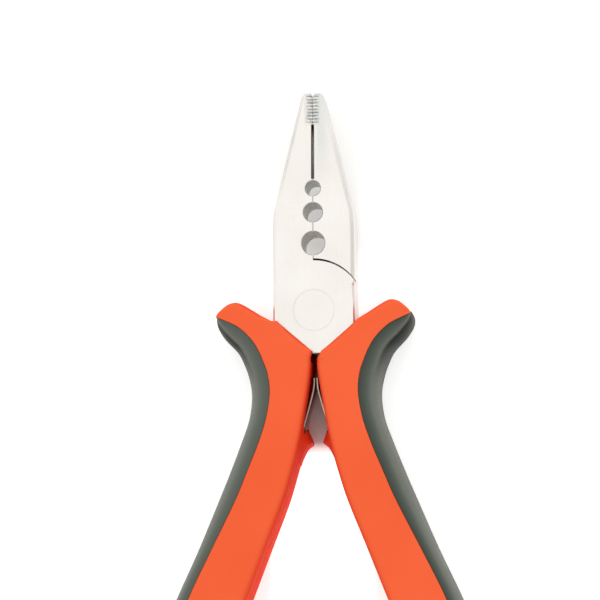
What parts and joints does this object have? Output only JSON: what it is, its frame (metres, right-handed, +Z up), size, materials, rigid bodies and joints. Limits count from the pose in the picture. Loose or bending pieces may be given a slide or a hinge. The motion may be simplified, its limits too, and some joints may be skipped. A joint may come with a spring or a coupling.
{
  "type": "crimping pliers",
  "caption": "Hand crimping pliers: two riveted steel jaws with round crimp holes and fine teeth, leaf springs and curved padded grips.",
  "frame": {"origin": "centre of the closed tool's footprint, on the surface it lies on", "axes": "+X to the right handle, +Y along the tool to the tip of the jaws, +Z up out of the surface, along the pivot rivet"},
  "size_m": [0.0712, 0.15, 0.0125],
  "materials": {
    "polished_steel": "ground and polished, with fine scratches along the jaws",
    "spring_steel": "plain rolled spring steel",
    "red_plastic": "orange-red moulded plastic, satin gloss",
    "grey_rubber": "matt grey soft-touch rubber with a fine moulded grain"
  },
  "bodies": {
    "right_half": {"front_half": "polished_steel", "pivot_rivet": "polished_steel", "right_leaf_spring": "spring_steel", "right_spring_rivet": "spring_steel", "right_grip": "red_plastic", "right_pad": "grey_rubber"},
    "left_half": {"back_half": "polished_steel", "left_leaf_spring": "spring_steel", "left_spring_rivet": "spring_steel", "left_grip": "red_plastic", "left_pad": "grey_rubber"}
  },
  "joints": [
    {"name": "jaw_open", "type": "hinge", "parent": "right_half", "child": "left_half", "pos_m": [0, 0.0353, 0.00625], "axis": [0, 0, -1], "range_deg": [0, 16], "stiffness_Nm_per_rad": 0.5, "springref_deg": 16.04, "deforming": ["right_leaf_spring", "left_leaf_spring"]}
  ]
}
